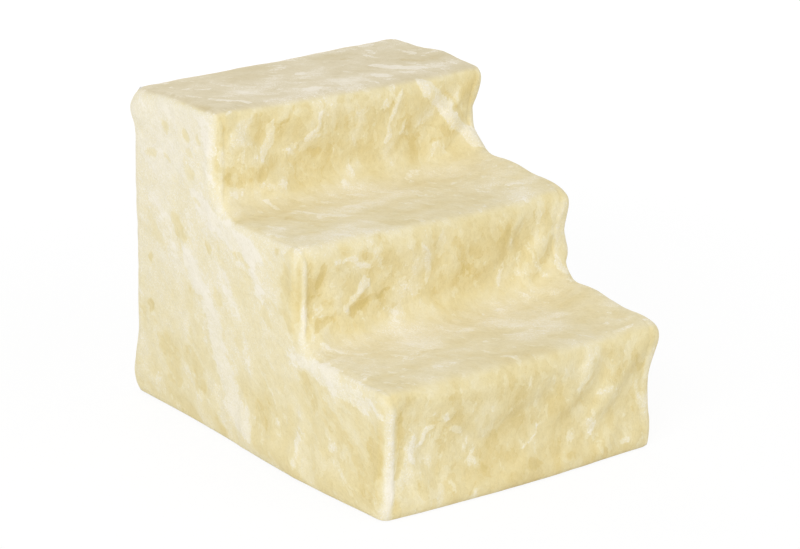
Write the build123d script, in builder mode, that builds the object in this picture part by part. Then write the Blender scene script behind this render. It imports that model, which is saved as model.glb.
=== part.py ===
from build123d import *
import math
import os

os.makedirs("parts", exist_ok=True)

# Pet stairs: a snap-together frame of moulded panels under a fitted plush cover.
# The low end faces -Y, the steps climb towards +Y, and +Z is up.
# The origin is on the floor, under the middle of the whole object.

# Steps
step_count = 3
tread_going = 146.0
tread_rise = 107.0
frame_width = 338.0

# Plush cover: pile and backing together, on each side of the frame
side_plush = 5.5
top_plush = 5.7
nosing_plush = 7.5
back_plush = 3.5
side_slip = 0.5
tread_slip = 0.3
hem_clearance = 0.5
waist_depth = 6.0
nosing_radius = 12.0
edge_radius_share = 0.85
bridge_radius = 26.0
waist_run_share = 0.9

# Moulded panels
wall = 3.0
rib = 2.4
side_depth = 16.0
cross_depth = 12.0
corner_radius = 6.0
window_margin = 4.0
window_chamfer = 5.0
panel_fit = 0.3
side_columns, side_rows = 3, 2
cross_columns, cross_rows = 6, 2

# Tread decks
deck_depth = 11.0
deck_columns, deck_rows = 6, 3
deck_edge_chamfer = 2.0
grip_slot_width = 12.0

# Pegs and their sockets
peg_width = 8.0
peg_height = 6.0
peg_chamfer = 1.0
peg_spread = 90.0
peg_fit = 0.2

# Base
rail_height = 7.0
foot_height = 3.0
foot_width = 12.0
foot_recess = 1.5
foot_fit = 0.2
foot_chamfer = 1.0
foot_land = 24.0
dovetail_reach = 6.0
dovetail_root = 7.0
dovetail_tip = 10.0
dovetail_depth = 5.0
dovetail_fit = 0.2

# Joining clips
clip_wall = 1.6
clip_reach = 10.0
clip_height = 18.0
clip_spread = 50.0
clip_fit = 0.2

# Places that follow from the sizes
frame_length = step_count * tread_going
cover_length = nosing_plush + side_slip + frame_length + side_slip + back_plush
cover_width = frame_width + 2 * (side_slip + side_plush)
cover_front = -cover_length / 2
frame_front = cover_front + nosing_plush + side_slip
frame_back = frame_front + frame_length
rail_top = foot_height + rail_height
side_face = frame_width / 2
side_middle = side_face - side_depth / 2
level_names = ["low", "middle", "top"]
column_names = ["front", "centre", "back"]
groove = cross_depth + 2 * panel_fit


def column_middle(column):
    """The place along the stairs of the middle of a column of side frames."""
    return frame_front + (column + 0.5) * tread_going


def level_floor(level):
    """The height of the seat of a level of side frames."""
    return rail_top + level * tread_rise


def deck_top(level):
    """The height of a tread's deck."""
    return level_floor(level + 1) + deck_depth


def cells(length, count):
    """The pitch and the clear width of equal cells with a rib between neighbours."""
    pitch = (length + rib) / count
    return pitch, pitch - rib


def side_frame(side):
    """A stackable side frame: a ribbed, windowed plate with a groove at each end."""
    middle = (column_middle(0), level_floor(0) + tread_rise / 2)
    outer_face = Plane.YZ.offset(side * side_face)
    inner_face = Plane.YZ.offset(side * (side_face - side_depth))
    field_length = tread_going - 2 * (wall + groove + rib)
    field_height = tread_rise - 2 * wall
    pitch_y, cell_length = cells(field_length, side_columns)
    pitch_z, cell_height = cells(field_height, side_rows)
    groove_pitch = tread_going - 2 * wall - groove
    with BuildPart() as frame:
        with BuildSketch(outer_face):
            with Locations(middle):
                Rectangle(tread_going, tread_rise)
        extrude(amount=-side * side_depth)
        upright_edges = frame.edges().filter_by(Axis.Z).group_by(Axis.X)
        fillet(upright_edges[0 if side < 0 else -1], corner_radius)
        with BuildSketch(inner_face):
            with Locations(middle):
                with GridLocations(pitch_y, pitch_z, side_columns, side_rows):
                    Rectangle(cell_length, cell_height)
                with GridLocations(groove_pitch, 0, 2, 1):
                    Rectangle(groove, field_height)
        extrude(amount=side * (side_depth - wall), mode=Mode.SUBTRACT)
        with BuildSketch(outer_face):
            with Locations(middle):
                with GridLocations(pitch_y, pitch_z, side_columns, side_rows):
                    Rectangle(cell_length - 2 * window_margin, cell_height - 2 * window_margin)
        extrude(amount=-side * wall, mode=Mode.SUBTRACT)
        with BuildSketch(Plane.XY.offset(level_floor(0))):
            with Locations((side * side_middle, column_middle(0))):
                with GridLocations(0, peg_spread, 1, 2):
                    Rectangle(peg_width + 2 * peg_fit, peg_width + 2 * peg_fit)
        extrude(amount=wall, mode=Mode.SUBTRACT)
        with BuildSketch(Plane.XY.offset(level_floor(1))):
            with Locations((side * side_middle, column_middle(0))):
                with GridLocations(0, peg_spread, 1, 2):
                    Rectangle(peg_width, peg_width)
        extrude(amount=peg_height)
        chamfer(frame.faces().sort_by(Axis.Z)[-2:].edges(), peg_chamfer)
    return frame


def cross_panel(seat, facing):
    """A riser or back panel: windowed plate outside, ribs inside, ends in the grooves."""
    length = frame_width - 2 * (wall + panel_fit)
    height = tread_rise - 2 * (wall + panel_fit)
    middle = (0, level_floor(0) + tread_rise / 2)
    pitch_x, cell_length = cells(length - 2 * wall, cross_columns)
    pitch_z, cell_height = cells(height - 2 * wall, cross_rows)
    outer_face = Plane.XZ.offset(-seat)
    inner_face = Plane.XZ.offset(facing * cross_depth - seat)
    with BuildPart() as panel:
        with BuildSketch(outer_face):
            with Locations(middle):
                Rectangle(length, height)
        extrude(amount=facing * cross_depth)
        with BuildSketch(inner_face):
            with Locations(middle):
                with GridLocations(pitch_x, pitch_z, cross_columns, cross_rows):
                    Rectangle(cell_length, cell_height)
        extrude(amount=-facing * (cross_depth - wall), mode=Mode.SUBTRACT)
        with BuildSketch(outer_face) as windows:
            with Locations(middle):
                with GridLocations(pitch_x, pitch_z, cross_columns, cross_rows):
                    Rectangle(cell_length - 2 * window_margin, cell_height - 2 * window_margin)
            chamfer(windows.vertices(), window_chamfer)
        extrude(amount=facing * wall, mode=Mode.SUBTRACT)
    return panel


def tread_deck():
    """A tread: top plate with grip slots, ribs below, sockets over the side frames."""
    middle = (0, column_middle(0))
    bottom = level_floor(1)
    pitch_x, cell_width = cells(frame_width - 2 * side_depth, deck_columns)
    pitch_y, cell_length = cells(tread_going - 2 * wall, deck_rows)
    slot_end = cell_width / 2 - window_margin
    slot_side = grip_slot_width / 2
    slot_shoulder = slot_end - slot_side
    with BuildPart() as deck:
        with BuildSketch(Plane.XY.offset(bottom)):
            with Locations(middle):
                Rectangle(frame_width, tread_going)
        extrude(amount=deck_depth)
        fillet(deck.edges().filter_by(Axis.Z).group_by(Axis.Y)[0], corner_radius)
        rim = deck.faces().sort_by(Axis.Z)[-1].edges().sort_by(Axis.Y)[:-1]
        chamfer(rim, deck_edge_chamfer)
        with BuildSketch(Plane.XY.offset(bottom)):
            with Locations(middle):
                with GridLocations(pitch_x, pitch_y, deck_columns, deck_rows):
                    Rectangle(cell_width, cell_length)
        extrude(amount=deck_depth - wall, mode=Mode.SUBTRACT)
        with BuildSketch(Plane.XY.offset(deck_top(0))):
            with Locations(middle):
                with GridLocations(pitch_x, pitch_y, deck_columns, deck_rows):
                    Polygon(
                        (-slot_end, 0),
                        (-slot_shoulder, -slot_side),
                        (slot_shoulder, -slot_side),
                        (slot_end, 0),
                        (slot_shoulder, slot_side),
                        (-slot_shoulder, slot_side),
                    )
        extrude(amount=-wall, mode=Mode.SUBTRACT)
        with BuildSketch(Plane.XY.offset(bottom)):
            with Locations(middle):
                with GridLocations(2 * side_middle, peg_spread, 2, 2):
                    Rectangle(peg_width + 2 * peg_fit, peg_width + 2 * peg_fit)
        extrude(amount=peg_height + peg_fit, mode=Mode.SUBTRACT)
    return deck


def rail_seats():
    """Where the cross rails and the feet sit along the base rails."""
    inset = side_depth / 2
    return [frame_front + inset, (frame_front + frame_back) / 2, frame_back - inset]


def dovetail_plan(side, seat, fit):
    """The plan of a dovetail that runs out into a base rail, grown by its fit."""
    root_x = side * (side_face - side_depth)
    tip_x = root_x + side * (dovetail_reach + fit)
    root = dovetail_root / 2 + fit
    tip = dovetail_tip / 2 + fit
    corners = [(root_x, seat - root), (tip_x, seat - tip), (tip_x, seat + tip), (root_x, seat + root)]
    Polygon(*corners, align=None)


def base_rail(side):
    """A side rail of the base: pegs on top, a channel below, notches for cross rails."""
    seats = rail_seats()
    channel_length = seats[1] - seats[0] - foot_land
    channel_width = side_depth - 2 * wall
    with BuildPart() as rail:
        with BuildSketch(Plane.XY.offset(foot_height)):
            with Locations((side * side_middle, seats[1])):
                Rectangle(side_depth, frame_length)
        extrude(amount=rail_height)
        upright_edges = rail.edges().filter_by(Axis.Z).group_by(Axis.X)
        fillet(upright_edges[0 if side < 0 else -1], corner_radius)
        with BuildSketch(Plane.XY.offset(foot_height)):
            with Locations((side * side_middle, seats[1])):
                with GridLocations(0, seats[1] - seats[0], 1, 2):
                    Rectangle(channel_width, channel_length)
        extrude(amount=rail_height - wall, mode=Mode.SUBTRACT)
        with BuildSketch(Plane.XY.offset(foot_height)):
            with Locations(*[(side * side_middle, seat) for seat in seats]):
                Rectangle(foot_width + 2 * foot_fit, foot_width + 2 * foot_fit)
        extrude(amount=foot_recess, mode=Mode.SUBTRACT)
        with BuildSketch(Plane.XY.offset(rail_top)):
            for seat in seats:
                dovetail_plan(side, seat, dovetail_fit)
        extrude(amount=-dovetail_depth, mode=Mode.SUBTRACT)
        with BuildSketch(Plane.XY.offset(rail_top)):
            for column in range(step_count):
                with Locations((side * side_middle, column_middle(column))):
                    with GridLocations(0, peg_spread, 1, 2):
                        Rectangle(peg_width, peg_width)
        extrude(amount=peg_height)
        chamfer(rail.faces().sort_by(Axis.Z)[-2 * step_count:].edges(), peg_chamfer)
    return rail


def cross_rail(seat):
    """A cross rail of the base, with a dovetail at each end and a channel below."""
    span = frame_width - 2 * side_depth
    with BuildPart() as rail:
        with BuildSketch(Plane.XY.offset(foot_height)):
            with Locations((0, seat)):
                Rectangle(span, side_depth)
        extrude(amount=rail_height)
        with BuildSketch(Plane.XY.offset(foot_height)):
            with Locations((0, seat)):
                Rectangle(span - 2 * wall, side_depth - 2 * wall)
        extrude(amount=rail_height - wall, mode=Mode.SUBTRACT)
        with BuildSketch(Plane.XY.offset(rail_top)):
            dovetail_plan(-1, seat, 0)
            dovetail_plan(1, seat, 0)
        extrude(amount=dovetail_fit - dovetail_depth)
    return rail


def copy_of(moulding, label, shift):
    """Write a copy of a moulding, set where the stairs need it, under its own name."""
    with BuildPart() as piece:
        with Locations(shift):
            add(moulding.part)
    piece.part.label = label
    export_step(piece.part, f"parts/{label}.step")


# Side frames, stacked one, two and three high, on the left and the right
for side, side_name in [(-1, "left"), (1, "right")]:
    side_moulding = side_frame(side)
    for level in range(step_count):
        for column in range(level, step_count):
            label = f"{side_name}_side_{level_names[level]}_{column_names[column]}"
            copy_of(side_moulding, label, (0, column * tread_going, level * tread_rise))

# Riser panels under each nosing, back panels up the tall end, and the tread decks
riser_moulding = cross_panel(frame_front + wall + panel_fit, -1)
back_moulding = cross_panel(frame_back - wall - panel_fit, 1)
deck_moulding = tread_deck()
for level in range(step_count):
    step_shift = (0, level * tread_going, level * tread_rise)
    copy_of(riser_moulding, f"riser_panel_{level_names[level]}", step_shift)
    copy_of(back_moulding, f"back_panel_{level_names[level]}", (0, 0, level * tread_rise))
    copy_of(deck_moulding, f"tread_deck_{level_names[level]}", step_shift)

# Base: two rails under the side frames, tied by three cross rails
for side, side_name in [(-1, "left"), (1, "right")]:
    copy_of(base_rail(side), f"base_rail_{side_name}", (0, 0, 0))
cross_moulding = cross_rail(0)
for seat, place in zip(rail_seats(), ["front", "middle", "back"]):
    copy_of(cross_moulding, f"cross_rail_{place}", (0, seat, 0))

# Rubber feet, three under each base rail
with BuildPart() as rubber_feet:
    with BuildSketch(Plane.XY):
        for seat in rail_seats():
            with Locations((0, seat)):
                with GridLocations(2 * side_middle, 0, 2, 1):
                    Rectangle(foot_width, foot_width)
    extrude(amount=foot_height + foot_recess)
    chamfer(rubber_feet.edges().group_by(Axis.Z)[0], foot_chamfer)
rubber_feet.part.label = "rubber_feet"
export_step(rubber_feet.part, "parts/rubber_feet.step")

# Joining clips: a channel pushed over the end walls of two side frames
clip_mouth = 2 * (wall + clip_fit)
clip_front = side_face - side_depth - clip_fit
with BuildPart() as joining_clips:
    for level in range(step_count - 1):
        for clip_share in (-0.5, 0.5):
            clip_middle = level_floor(level) + tread_rise / 2 + clip_share * clip_spread
            joints = [frame_front + place * tread_going for place in range(level + 1, step_count)]
            with BuildSketch(Plane.XY.offset(clip_middle - clip_height / 2)):
                for joint in joints:
                    with Locations((0, joint)):
                        with GridLocations(2 * clip_front + clip_reach - clip_wall, 0, 2, 1):
                            Rectangle(clip_reach + clip_wall, clip_mouth + 2 * clip_wall)
                        with GridLocations(2 * clip_front + clip_reach, 0, 2, 1):
                            Rectangle(clip_reach, clip_mouth, mode=Mode.SUBTRACT)
            extrude(amount=clip_height)
joining_clips.part.label = "joining_clips"
export_step(joining_clips.part, "parts/joining_clips.step")


# Plush cover: one sewn sleeve with four panels
def cover_tread(level):
    """The height of a tread's plush surface."""
    return deck_top(level) + tread_slip + top_plush


def rounded_corner_advance(lean):
    """How far a corner stands ahead of its own rounding, on a face that leans back."""
    return nosing_radius * (lean + math.sqrt(1 + lean * lean) - 1)


def cover_outline():
    """Corners and roundings of the plush outside, from the front hem to the back hem."""
    corners = []
    foot = hem_clearance
    for level in range(step_count):
        plane = cover_front + level * tread_going
        top = cover_tread(level)
        half_rise = (top - foot) / 2
        lean = waist_depth / half_rise
        advance = rounded_corner_advance(lean)
        waist_radius = waist_run_share * (half_rise - bridge_radius) / lean
        corners += [
            ((plane - advance + waist_depth / 2, foot), bridge_radius),
            ((plane - advance + waist_depth, foot + half_rise), waist_radius),
            ((plane - advance, top), nosing_radius),
        ]
        foot = top
    corners += [
        ((cover_front + cover_length, foot), nosing_radius),
        ((cover_front + cover_length, hem_clearance), nosing_radius),
    ]
    return corners


lining_width = frame_width + 2 * side_slip
lining_back = frame_back + side_slip
with BuildPart() as cover_form:
    with BuildSketch(Plane.YZ.offset(-cover_width / 2)):
        with BuildLine():
            outline = cover_outline()
            shell_line = FilletPolyline(
                *[corner for corner, radius in outline],
                radius=[radius for corner, radius in outline[1:-1]],
            )
            Line(shell_line @ 1, shell_line @ 0)
        make_face()
    extrude(amount=cover_width)
    side_edges = cover_form.edges().group_by(Axis.X)
    shoulder = (side_edges[0] + side_edges[-1]).filter_by(
        lambda edge: edge.center().Z > 2 * hem_clearance
    )
    fillet(shoulder, nosing_radius * edge_radius_share)
    with BuildSketch(Plane.YZ.offset(-lining_width / 2)):
        with BuildLine():
            lining = [(lining_back, 0)]
            lining += [(lining_back, deck_top(step_count - 1) + tread_slip)]
            for level in reversed(range(step_count)):
                plane = frame_front - side_slip + level * tread_going
                foot = deck_top(level - 1) + tread_slip if level else 0
                lining += [(plane, deck_top(level) + tread_slip), (plane, foot)]
            Polyline(*lining, close=True)
        make_face()
    extrude(amount=lining_width, mode=Mode.SUBTRACT)

left_seam = Plane.YZ.offset(-lining_width / 2)
right_seam = Plane.YZ.offset(lining_width / 2)
back_seam = Plane.XZ.offset(-lining_back)

with BuildPart() as cover_left_side:
    add(cover_form.part)
    split(bisect_by=left_seam, keep=Keep.BOTTOM)
cover_left_side.part.label = "cover_left_side"
export_step(cover_left_side.part, "parts/cover_left_side.step")

with BuildPart() as cover_right_side:
    add(cover_form.part)
    split(bisect_by=right_seam, keep=Keep.TOP)
cover_right_side.part.label = "cover_right_side"
export_step(cover_right_side.part, "parts/cover_right_side.step")

with BuildPart() as cover_steps:
    add(cover_form.part)
    split(bisect_by=left_seam, keep=Keep.TOP)
    split(bisect_by=right_seam, keep=Keep.BOTTOM)
    split(bisect_by=back_seam, keep=Keep.TOP)
cover_steps.part.label = "cover_steps"
export_step(cover_steps.part, "parts/cover_steps.step")

with BuildPart() as cover_back:
    add(cover_form.part)
    split(bisect_by=left_seam, keep=Keep.TOP)
    split(bisect_by=right_seam, keep=Keep.BOTTOM)
    split(bisect_by=back_seam, keep=Keep.BOTTOM)
cover_back.part.label = "cover_back"
export_step(cover_back.part, "parts/cover_back.step")
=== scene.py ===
"""Pet stairs: a crushed-plush cover stretched over a snap-together plastic frame."""

import itertools
import math

import bmesh
import bpy
import numpy as np
from mathutils import Matrix, Vector


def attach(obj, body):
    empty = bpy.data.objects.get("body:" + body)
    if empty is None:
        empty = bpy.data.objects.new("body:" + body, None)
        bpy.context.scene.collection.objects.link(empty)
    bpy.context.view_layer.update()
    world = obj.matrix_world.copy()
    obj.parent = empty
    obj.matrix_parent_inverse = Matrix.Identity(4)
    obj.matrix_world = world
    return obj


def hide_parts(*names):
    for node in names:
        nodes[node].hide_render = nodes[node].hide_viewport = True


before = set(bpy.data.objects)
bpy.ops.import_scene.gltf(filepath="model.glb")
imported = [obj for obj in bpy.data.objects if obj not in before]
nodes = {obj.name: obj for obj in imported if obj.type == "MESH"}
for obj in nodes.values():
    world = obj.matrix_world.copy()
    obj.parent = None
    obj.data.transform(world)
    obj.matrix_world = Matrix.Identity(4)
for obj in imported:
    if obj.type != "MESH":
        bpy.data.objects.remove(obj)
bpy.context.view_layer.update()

scene = bpy.context.scene


def span(name):
    """The lowest and the highest place of a node, in metres."""
    places = np.array([v.co[:] for v in nodes[name].data.vertices])
    return places.min(0).round(4).tolist(), places.max(0).round(4).tolist()


# Sizes of the cover, in metres, from the frame.
level_names = ["low", "middle", "top"]
step_count = len(level_names)
low_deck, middle_deck = span("tread_deck_low"), span("tread_deck_middle")
tread_going, tread_rise = (round(middle_deck[0][k] - low_deck[0][k], 4) for k in (1, 2))
(_, _, hem_height), (lining_side, lining_back, top_height) = span("cover_steps")
cover_side = span("cover_right_side")[1][0]
cover_back = span("cover_back")[1][1]
cover_front = -cover_back

# How thick the cover is at the nosings and on the treads, and its roundings, in metres.
nosing_depth = 0.0075
tread_depth = 0.0057
waist_depth = 0.006
nosing_radius = 0.012
bridge_radius = 0.026
waist_run_share = 0.9
edge_radius = nosing_radius * 0.85
tread_heights = [top_height - tread_rise * (step_count - 1 - k) for k in range(step_count)]
riser_planes = [cover_front + tread_going * k for k in range(step_count)]
riser_feet = [hem_height] + tread_heights[:-1]

# The seams, the cloth's mesh and its thickness, in metres.
seam_side = 0.1690
seam_back = 0.2190
riser_seam_inset = 0.0050
side_region = 0.1
outline_spacing = 0.0025
cloth_spacing = 0.005
least_edge = 0.0002
cloth_thickness = 0.0028
least_thickness = 0.0008
cloth_clearance = 0.0002
hem_roll = 0.002
hem_calm = 0.012
edge_cuts = 6

# How the cloth settles: its easing, how far it may move, and its sharpest fold in radians.
settle_frames = 24
rumple_easing = 4
most_rumple = 0.005
most_sink = 0.0018
lining_room = 0.0015
most_crease = 0.7
pinch_rounds, pinch_reach, pinch_easing = 4, 3, 10
cloth_settings = {
    "quality": 5,
    "mass": 0.2,
    "tension_stiffness": 15,
    "compression_stiffness": 15,
    "shear_stiffness": 5,
    "bending_stiffness": 6.0,
    "vertex_group_mass": "grip",
    "pin_stiffness": 1.0,
    "shrink_min": -0.03,
}
cloth_gravity = 0.15
held_hem, held_seam, held_inside = 0.006, 0.010, 0.003
open_grip, seam_grip = 0.10, 0.45

# The way the pile lies, and how often its patterns come in a metre.
side_slant = math.radians(35)
tread_sweep = math.radians(50)
drift_scale = 20.0
smudge_scale = 70.0
clump_scale = 85.0
glint_scale = 105.0
fray_scale = 210.0
lock_scale = 230.0
mat_scale = 300.0
strand_scale = 640.0

# The plush from deep in its pile out to its ends, and the painted sky reflection that greys the
# flat-lying pile of the treads, fullest on the top tread.
straw_swatches = [
    (0.05, "#DAC687"),
    (0.25, "#E3D199"),
    (0.42, "#EADCAC"),
    (0.56, "#EFE4BD"),
    (0.70, "#F2E9CA"),
    (0.84, "#F4EDD6"),
    (1.00, "#F8F2E2"),
]
sky_sheen_swatches = [(0.15, "#D5C49B"), (0.45, "#DDD0B1"), (0.62, "#E5D9BD"), (0.80, "#F8F0DF")]


def placed(name, data):
    """A new object in the scene, with this data."""
    thing = bpy.data.objects.new(name, data)
    scene.collection.objects.link(thing)
    return thing


def set_camera():
    """The photograph's viewpoint: 38 degrees round to the left, 18 degrees up."""
    azimuth, elevation, roll = map(math.radians, (-38.29, 18.168, 1.20))
    stand = (-1.610, -2.058, 1.019)
    level = math.cos(elevation)
    back = Vector((math.sin(azimuth) * level, -math.cos(azimuth) * level, math.sin(elevation)))
    level_right = (-back).cross(Vector((0, 0, 1))).normalized()
    level_up = level_right.cross(-back)
    right = level_right * math.cos(roll) + level_up * math.sin(roll)
    up = level_up * math.cos(roll) - level_right * math.sin(roll)
    turn = Matrix((right, up, back)).transposed().to_4x4()
    data = bpy.data.cameras.new("camera")
    data.lens = 117.18
    data.sensor_width = 36.0
    data.clip_end = 60.0
    scene.camera = placed("camera", data)
    scene.camera.matrix_world = Matrix.Translation(stand) @ turn


def tint(code):
    """A colour written as on a swatch card, as the linear colour that shaders take."""
    parts = [int(code[k : k + 2], 16) / 255 for k in (1, 3, 5)]
    linear = [c / 12.92 if c <= 0.04045 else ((c + 0.055) / 1.055) ** 2.4 for c in parts]
    return (*linear, 1.0)


class Value:
    """A shader socket that can be used in sums. Each sum adds its Math node."""

    def __init__(self, recipe, socket):
        self.recipe, self.socket = recipe, socket

    def _sum(self, operation, first, second, clamp=False):
        settings = {"operation": operation, "use_clamp": clamp}
        return self.recipe.add("ShaderNodeMath", settings, {0: first, 1: second}, 0)

    def __add__(self, other):
        return self._sum("ADD", self, other)

    def __sub__(self, other):
        return self._sum("SUBTRACT", self, other)

    def __rsub__(self, other):
        return self._sum("SUBTRACT", other, self)

    def __mul__(self, other):
        return self._sum("MULTIPLY", self, other)

    def held(self):
        """The same value, kept between 0 and 1."""
        return self._sum("ADD", self, 0.0, clamp=True)

    __radd__ = __add__
    __rmul__ = __mul__


class Recipe:
    """The nodes of one material, or of the world."""

    def __init__(self, owner):
        owner.use_nodes = True
        self.owner, self.tree = owner, owner.node_tree
        self.tree.nodes.clear()

    def add(self, kind, settings, inputs, out=None):
        """Adds a node, and gives one of its outputs where asked."""
        node = self.tree.nodes.new(kind)
        for key, value in settings.items():
            if key == "stops":
                ramp = node.color_ramp
                while len(ramp.elements) < len(value):
                    ramp.elements.new(0.5)
                for element, (place, code) in zip(ramp.elements, value):
                    element.position, element.color = place, tint(code)
            else:
                setattr(node, key, value)
        for key, value in inputs.items():
            if isinstance(value, Value):
                self.tree.links.new(value.socket, node.inputs[key])
            else:
                node.inputs[key].default_value = value
        return None if out is None else Value(self, node.outputs[out])

    def place(self, stretch=(1, 1, 1)):
        """Where a point is on the object, in metres, stretched."""
        here = self.add("ShaderNodeTexCoord", {}, {}, "Object")
        return self.add("ShaderNodeMapping", {}, {"Vector": here, "Scale": stretch}, 0)

    def mark(self, name):
        """A value that the mesh carries at its points."""
        return self.add("ShaderNodeAttribute", {"attribute_name": name}, {}, "Fac")

    def noise(self, where, scale, detail=2.0, distortion=0.0, out="Fac"):
        """Soft noise that repeats scale times in a metre."""
        inputs = {"Vector": where, "Scale": scale, "Detail": detail, "Distortion": distortion}
        return self.add("ShaderNodeTexNoise", {}, inputs, out)

    def cells(self, where, scale):
        """Uneven cells, each with its own value from 0 to 1."""
        inputs = {"Vector": where, "Scale": scale}
        colour = self.add("ShaderNodeTexVoronoi", {"feature": "F1"}, inputs, "Color")
        return self.add("ShaderNodeSeparateColor", {}, {"Color": colour}, 0)

    def vector(self, operation, *parts, out=0):
        """Vector maths on up to three vectors."""
        return self.add(
            "ShaderNodeVectorMath", {"operation": operation}, dict(enumerate(parts)), out
        )

    def stirred(self, where, pattern, reach):
        """A place moved by a coloured pattern, by reach metres at most."""
        return self.vector("MULTIPLY_ADD", pattern, (reach,) * 3, where)

    def turned(self, where, axis, angle):
        """A place turned about one axis."""
        return self.add(
            "ShaderNodeVectorRotate", {"rotation_type": axis}, {"Vector": where, "Angle": angle}, 0
        )

    def brushed(self, pattern, where, run, flank, tread):
        """A pattern drawn out the way the pile lies: up the risers, aslant on sides and treads."""
        slanting = self.turned(where, "X_AXIS", -side_slant)
        swept = self.turned(where, "Z_AXIS", tread_sweep)
        lies = ((where, (1, 1, run)), (slanting, (1, run * 0.7, 1)), (swept, (run * 0.8, 1, 1)))
        risers, sides, treads = (pattern(self.vector("MULTIPLY", *lie)) for lie in lies)
        return risers + (sides - risers) * flank + (treads - risers) * tread

    def mix(self, share, first, second, blend="MIX"):
        """Two colours mixed."""
        settings = {"data_type": "RGBA", "blend_type": blend}
        return self.add("ShaderNodeMix", settings, {0: share, 6: first, 7: second}, 2)

    def ramp(self, value, stops):
        """A colour for a value, from stops of a place and a swatch."""
        return self.add("ShaderNodeValToRGB", {"stops": stops}, {"Fac": value}, "Color")

    def step(self, value, low, high):
        """0 below low, 1 above high, smooth between."""
        inputs = {"Value": value, "From Min": low, "From Max": high}
        return self.add("ShaderNodeMapRange", {"interpolation_type": "SMOOTHSTEP"}, inputs, 0)

    def bump(self, height, distance, strength):
        """A normal from a height, with distance in metres."""
        inputs = {"Height": height, "Distance": distance, "Strength": strength}
        return self.add("ShaderNodeBump", {}, inputs, 0)

    def seen(self):
        """1 for the rays that the camera sees, also by reflection or through a clear part."""
        rays = ("Is Camera Ray", "Is Glossy Ray", "Is Transmission Ray")
        direct, glossy, clear = (self.add("ShaderNodeLightPath", {}, {}, ray) for ray in rays)
        return (direct + glossy + clear).held()

    def surface(self, shader, end="ShaderNodeOutputMaterial"):
        """Gives the owner this shader."""
        self.add(end, {}, {"Surface": shader})
        return self.owner

    def finish(self, **sockets):
        """A Principled surface with these sockets set or linked."""
        names = {key.replace("_", " "): value for key, value in sockets.items()}
        return self.surface(self.add("ShaderNodeBsdfPrincipled", {}, names, 0))


def crushed_plush():
    """The cover's outside: cream and straw plush, its pile pressed in soft streaks, with painted
    highlight and shade along its folds.
    """
    r = Recipe(bpy.data.materials.new("crushed_plush"))
    flank, tread, nap, pressed = map(r.mark, ("flank", "tread", "nap", "pressed"))
    here = r.place()
    drift = r.noise(here, drift_scale, out="Color")
    swirled = r.stirred(here, drift, 0.03)
    combed = r.stirred(here, drift, 0.018)
    frayed = r.stirred(combed, r.noise(here, fray_scale, out="Color"), 0.009)

    def lying(pattern, scale, run, *detail):
        """A pattern drawn out the way the pile lies."""
        return r.brushed(lambda lie: pattern(lie, scale, *detail), frayed, run, flank, tread)

    # The pile's patterns, from soft smudges down to single strands.
    smudges = r.noise(swirled, smudge_scale, distortion=0.3) - 0.5
    clumps = lying(r.cells, clump_scale, 0.55) - 0.5
    locks = lying(r.noise, lock_scale, 0.42, 1.0) - 0.5
    strands = lying(r.noise, strand_scale, 0.24, 1.0) - 0.5
    dashes = lying(r.noise, glint_scale, 0.42, 1.0)
    matted = r.noise(swirled, mat_scale)

    # Where the marks stand up or lie down, with ragged edges, and where single locks glint. Their
    # tone is partly the pile's own and partly painted light: painted highlight on the raised pile
    # and on the glints, painted shade on the sunk pile.
    ragged = locks * 0.9 + clumps * 0.12
    raised = r.step(pressed + ragged, 0.26, 0.56)
    sunk = r.step(ragged - pressed, 0.26, 0.56)
    glints = r.step(dashes + (smudges - 0.02) * 0.35, 0.66, 0.70) * (0.6 + 0.2 * tread)

    # The tone runs from straw deep in the pile to cream at its ends. Small pale specks, painted
    # highlights, lift it where the pile is already pale.
    tone = r.mark("tone") + smudges * (0.28 - 0.18 * flank - 0.08 * tread) + locks * 0.05
    tone = tone + clumps * (0.17 - 0.05 * flank - 0.07 * tread)
    tone = tone + pressed * 0.08 + raised * 0.20 - sunk * 0.16 + glints * 0.20
    sparkle = r.step(r.noise(here, strand_scale, 0.0), 0.60, 0.68) * r.step(tone, 0.48, 0.72)
    straw = r.ramp(tone + sparkle * 0.28, straw_swatches)
    sky_sheen = r.ramp(tone + sparkle * 0.20, sky_sheen_swatches)
    # Painted sky reflection: the upward-facing tread pile is greyed, as pile laid flat reflects
    # the sky.
    pile = r.mix(nap * 0.75 * r.step(tread, 0.25, 0.95), straw, sky_sheen)
    # Painted shade among the strands and locks: the colour is darkened a little where they dip.
    depth = r.ramp(strands + locks * 0.4 + 0.5, [(0.25, "#F6F5F1"), (0.62, "#FFFFFF")])
    relief = strands * 0.4 + matted * 0.22 + locks * 0.9 + clumps * 0.3 + glints * 0.3
    return r.finish(
        Base_Color=r.mix(1.0, pile, depth, "MULTIPLY"),
        Roughness=0.95,
        Specular_IOR_Level=0.1,
        Sheen_Weight=0.3,
        Sheen_Roughness=0.5,
        Sheen_Tint=tint("#FFF8E4"),
        Normal=r.bump(relief, 0.0012, 0.30),
    )


def knitted_backing():
    """The cover's inside: a plain knitted backing."""
    r = Recipe(bpy.data.materials.new("knitted_backing"))
    ribs = r.add(
        "ShaderNodeTexWave",
        {"wave_type": "BANDS", "bands_direction": "DIAGONAL"},
        {"Vector": r.place(), "Scale": 260.0, "Distortion": 0.6, "Detail": 1.0},
        "Fac",
    )
    shade = r.noise(r.place(), 30.0)
    return r.finish(
        Base_Color=r.ramp(shade, [(0.3, "#DDD3B8"), (0.7, "#E9E1CB")]),
        Roughness=0.9,
        Specular_IOR_Level=0.2,
        Normal=r.bump(ribs, 0.0006, 0.5),
    )


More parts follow.
